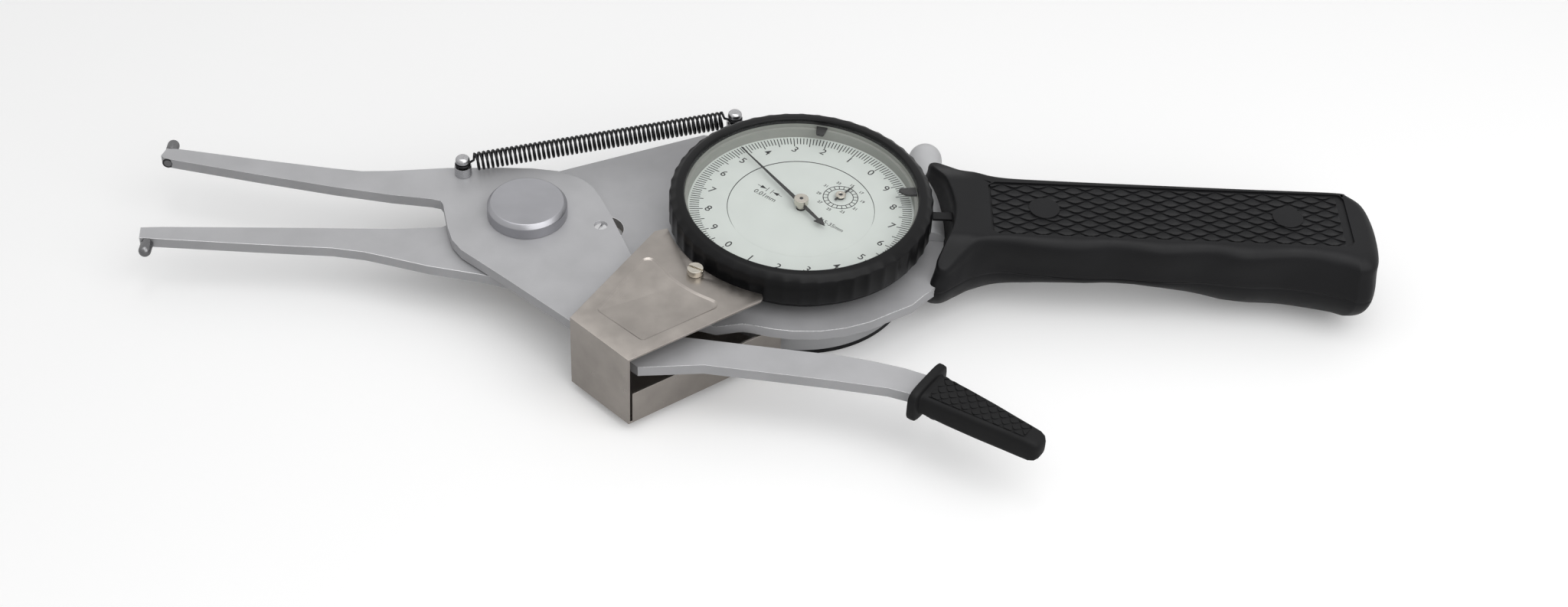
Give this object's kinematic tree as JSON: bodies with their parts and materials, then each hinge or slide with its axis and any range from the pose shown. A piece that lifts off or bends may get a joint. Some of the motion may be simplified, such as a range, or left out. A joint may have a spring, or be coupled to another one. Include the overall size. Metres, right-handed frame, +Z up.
{
  "type": "internal dial caliper gauge",
  "caption": "Hand-held internal dial caliper gauge: a rocking jaw on a pivot, squeezed by a lever against a spring, turns a dial hand through a gear sector.",
  "frame": {"origin": "on the resting plane, the underside of the round back cover, under the dial centre", "axes": "+X along the handle away from the measuring contacts, +Y towards the return spring, +Z up out of the dial"},
  "size_m": [0.2707, 0.1039, 0.0252],
  "materials": {
    "plate": "bead blasted satin nickel",
    "carbide": "ground hard metal",
    "knob": "fine turned satin with a polished chamfer",
    "steel": "turned",
    "nickel": "nickel plated",
    "bronze": "turned bronze",
    "washer": "stamped",
    "spring": "blackened spring wire",
    "brass": "fine brushed brass",
    "aluminium": "satin anodised",
    "black_cover": "satin black",
    "case": "painted pale inside, satin outside",
    "dial": "matt pale dial paint",
    "bezel": "satin black",
    "crystal": "clear",
    "pointer": "nickel plated",
    "hand": "matt black",
    "handle": "satin black moulded",
    "brake": "black",
    "guard": "nickel plated sheet",
    "grip": "moulded rubber"
  },
  "bodies": {
    "frame": {"main_plate": "plate", "fixed_contact": "carbide", "pivot_bush": "bronze", "pivot_washer": "washer", "rear_spring_post": "nickel", "return_spring": "spring", "gear_housing": "aluminium", "back_cover": "black_cover", "back_cover_screws": "steel", "case_screws": "steel", "dial_case": "case", "dial_plate": "dial", "upper_bridge": "brass", "lower_bridge": "brass", "arbor_bearings": "bronze", "bridge_pillars": "brass", "hairspring": "bronze", "hairspring_stud": "steel", "handle_upper_shell": "handle", "handle_lower_shell": "handle", "handle_plugs": "handle", "handle_screws": "steel", "handle_nuts": "steel", "stop_barrel": "aluminium", "bezel_brake": "brake", "guard_cover": "guard", "guard_standoff": "nickel", "guard_screw": "nickel"},
    "moving_jaw": {"moving_plate": "plate", "moving_contact": "carbide", "pivot_axle": "steel", "pivot_knob": "knob", "sector_screw": "steel", "adjusting_screw": "steel", "gear_sector": "brass", "front_spring_post": "nickel", "lever_grip": "grip"},
    "bezel_ring": {"bezel": "bezel", "scale_ring": "dial", "crystal_spacer": "dial", "crystal": "crystal"},
    "upper_pointer": {"tolerance_pointer_upper": "pointer"},
    "lower_pointer": {"tolerance_pointer_lower": "pointer"},
    "intermediate_gear": {"intermediate_pinion": "steel", "intermediate_wheel": "brass"},
    "main_pointer": {"centre_arbor": "steel", "main_hand": "hand", "main_hand_hub": "nickel"},
    "turn_counter": {"counter_arbor": "steel", "counter_wheel": "brass", "small_hand": "hand"}
  },
  "joints": [
    {"name": "jaw_pivot", "type": "hinge", "parent": "frame", "child": "moving_jaw", "pos_m": [-0.0601, -0.0008, 0.012], "axis": [0, 0, 1], "range_deg": [0, 14.1], "stiffness_Nm_per_rad": 0.05, "springref_deg": -57.3, "deforming": ["return_spring"]},
    {"name": "bezel_turn", "type": "hinge", "parent": "frame", "child": "bezel_ring", "pos_m": [0, 0, 0.02], "axis": [0, 0, 1], "continuous": true},
    {"name": "upper_pointer_turn", "type": "hinge", "parent": "bezel_ring", "child": "upper_pointer", "pos_m": [0, 0, 0.022], "axis": [0, 0, 1], "range_deg": [-30, 120]},
    {"name": "lower_pointer_turn", "type": "hinge", "parent": "bezel_ring", "child": "lower_pointer", "pos_m": [0, 0, 0.022], "axis": [0, 0, 1], "range_deg": [-120, 30]},
    {"name": "intermediate_turn", "type": "hinge", "parent": "frame", "child": "intermediate_gear", "pos_m": [-0.01113, -0.00361, 0.004], "axis": [0, 0, 1], "range_deg": [-3, 305.27]},
    {"name": "main_hand_turn", "type": "hinge", "parent": "frame", "child": "main_pointer", "pos_m": [0, 0, 0.004], "axis": [0, 0, 1], "range_deg": [-3630.22, 3]},
    {"name": "small_hand_turn", "type": "hinge", "parent": "frame", "child": "turn_counter", "pos_m": [0.00877, 0.00409, 0.004], "axis": [0, 0, 1], "range_deg": [-3, 365.72]}
  ],
  "couplings": [
    {"joint": "intermediate_turn", "follows": "jaw_pivot", "ratio": 21.438},
    {"joint": "main_hand_turn", "follows": "jaw_pivot", "ratio": -257.25},
    {"joint": "small_hand_turn", "follows": "jaw_pivot", "ratio": 25.725}
  ]
}
